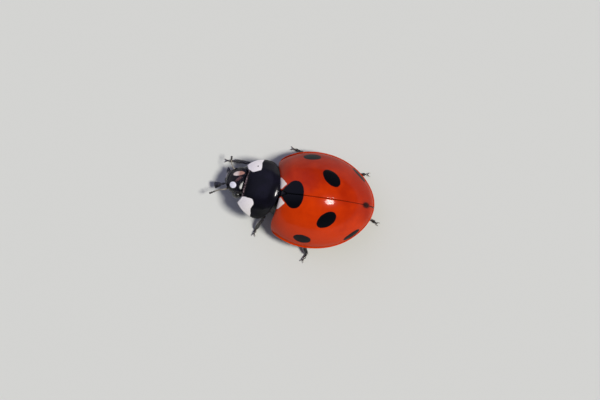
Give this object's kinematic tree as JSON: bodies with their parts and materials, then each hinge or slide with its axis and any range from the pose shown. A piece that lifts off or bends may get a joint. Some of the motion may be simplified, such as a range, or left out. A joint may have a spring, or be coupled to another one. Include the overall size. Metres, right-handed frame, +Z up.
{
  "type": "ladybird",
  "caption": "Life-size still ladybird standing on its feet: domed wing cases with round spots, a small front shield, a head with short feelers.",
  "frame": {"origin": "middle of the bounding box's footprint, on the floor that the feet stand on", "axes": "+Z up; the animal faces -Y and its left side is +X; the wing cases' seam runs along Y"},
  "size_m": [0.006, 0.0088, 0.0033],
  "materials": {
    "wing_case": "glossy orange-red shell with black spots, finely pitted",
    "shield": "glossy black shell with cream patches",
    "underside": "black plates with short pale hair",
    "eye": "black, finely faceted",
    "leg": "black with short pale hair",
    "foot": "very dark brown with short pale hair",
    "feeler": "brown with a dark club"
  },
  "bodies": {
    "root": {"elytron_left": "wing_case", "elytron_right": "wing_case", "scutellum": "shield", "pronotum": "shield", "head": "shield", "mouthparts": "shield", "thorax": "underside", "abdomen": "underside", "prothorax": "underside", "eye_left": "eye", "eye_right": "eye", "antenna_left": "feeler", "antenna_right": "feeler", "palp_left": "shield", "palp_right": "shield", "femur_left_front": "leg", "tibia_left_front": "leg", "tarsus_left_front": "foot", "femur_left_middle": "leg", "tibia_left_middle": "leg", "tarsus_left_middle": "foot", "femur_left_hind": "leg", "tibia_left_hind": "leg", "tarsus_left_hind": "foot", "femur_right_front": "leg", "tibia_right_front": "leg", "tarsus_right_front": "foot", "femur_right_middle": "leg", "tibia_right_middle": "leg", "tarsus_right_middle": "foot", "femur_right_hind": "leg", "tibia_right_hind": "leg", "tarsus_right_hind": "foot"}
  },
  "joints": []
}
